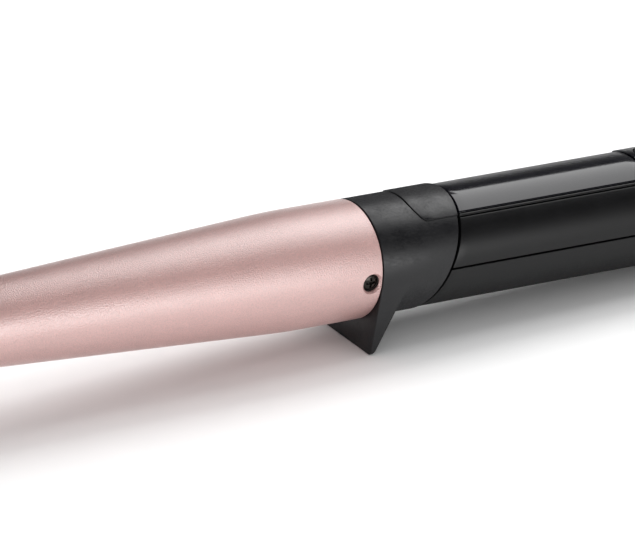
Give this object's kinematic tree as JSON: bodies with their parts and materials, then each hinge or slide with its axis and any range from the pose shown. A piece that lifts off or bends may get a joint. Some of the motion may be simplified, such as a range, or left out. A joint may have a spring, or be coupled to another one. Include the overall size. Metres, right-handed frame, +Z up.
{
  "type": "conical curling wand",
  "caption": "Conical hair curling wand with a coated tapered barrel, a collar with a built-in wedge stand, a round handle with press buttons, and a swivelling cord gland.",
  "frame": {"origin": "middle of the stand's flat sole, on the plane that the wand rests on", "axes": "+Z up, +X from the barrel towards the cord end in plan, Y across; the wand's own axis is tilted 2.277 degrees about Y, because it rests on the stand's sole and on the rear end of the handle"},
  "size_m": [0.3615, 0.032, 0.0392],
  "materials": {
    "rose_coating": "drawn aluminium with a satin rose gold ceramic coating that holds fine mica",
    "matte_black": "fine matte, heat-resistant",
    "satin_black": "satin",
    "gloss_black": "high gloss",
    "heat_plastic": "glass-filled, heat-resistant, dull",
    "smoked_window": "smoked, glossy",
    "cast_aluminium": "as cast",
    "white_ceramic": "unglazed",
    "zinc_steel": "zinc plated",
    "black_steel": "blackened",
    "brass": "plain",
    "board_green": "solder mask over glass fibre",
    "component_black": "moulded",
    "component_blue": "moulded",
    "fibre_sleeve": "braided glass fibre"
  },
  "bodies": {
    "wand": {"barrel_shell": "rose_coating", "tip_insulator": "heat_plastic", "cool_tip": "matte_black", "tip_screw": "zinc_steel", "ceramic_heater": "white_ceramic", "heat_spreader_upper": "cast_aluminium", "heat_spreader_lower": "cast_aluminium", "temperature_sensor": "white_ceramic", "thermal_fuse": "zinc_steel", "barrel_holder": "heat_plastic", "barrel_screw_left": "black_steel", "barrel_screw_right": "black_steel", "stand_collar": "matte_black", "collar_insert": "matte_black", "handle_upper_shell": "satin_black", "handle_lower_shell": "satin_black", "handle_screw_front": "black_steel", "handle_screw_rear": "black_steel", "top_cover": "gloss_black", "trim_strip_left": "satin_black", "trim_strip_right": "satin_black", "control_panel": "gloss_black", "minus_switch": "component_black", "plus_switch": "component_black", "power_switch": "component_black", "indicator_lights": "component_blue", "indicator_window": "smoked_window", "circuit_board": "board_green", "capacitor": "component_blue", "triac_heat_sink": "cast_aluminium", "triac": "component_black", "end_cap": "satin_black", "end_cap_screw": "black_steel", "contact_carrier": "heat_plastic", "contact_spring_live": "brass", "contact_spring_neutral": "brass", "neutral_lead": "fibre_sleeve", "live_lead_front": "fibre_sleeve", "live_lead_rear": "fibre_sleeve", "sensor_lead": "fibre_sleeve", "mains_lead_live": "component_black", "mains_lead_neutral": "component_black"},
    "minus_key": {"minus_button": "matte_black"},
    "plus_key": {"plus_button": "matte_black"},
    "power_key": {"power_button": "matte_black"},
    "swivel": {"cord_swivel": "matte_black", "swivel_clip": "zinc_steel", "slip_ring_live": "brass", "slip_ring_neutral": "brass"}
  },
  "joints": [
    {"name": "minus_press", "type": "slide", "parent": "wand", "child": "minus_key", "axis": [-0.0397, 0, -0.9992], "range_m": [0, 0.0006], "stiffness_N_per_m": 600},
    {"name": "plus_press", "type": "slide", "parent": "wand", "child": "plus_key", "axis": [-0.0397, 0, -0.9992], "range_m": [0, 0.0006], "stiffness_N_per_m": 600},
    {"name": "power_press", "type": "slide", "parent": "wand", "child": "power_key", "axis": [-0.0397, 0, -0.9992], "range_m": [0, 0.0006], "stiffness_N_per_m": 600},
    {"name": "cord_swivel_turn", "type": "hinge", "parent": "wand", "child": "swivel", "pos_m": [0.1699, 0, 0.01546], "axis": [0.9992, 0, -0.0397], "continuous": true}
  ]
}
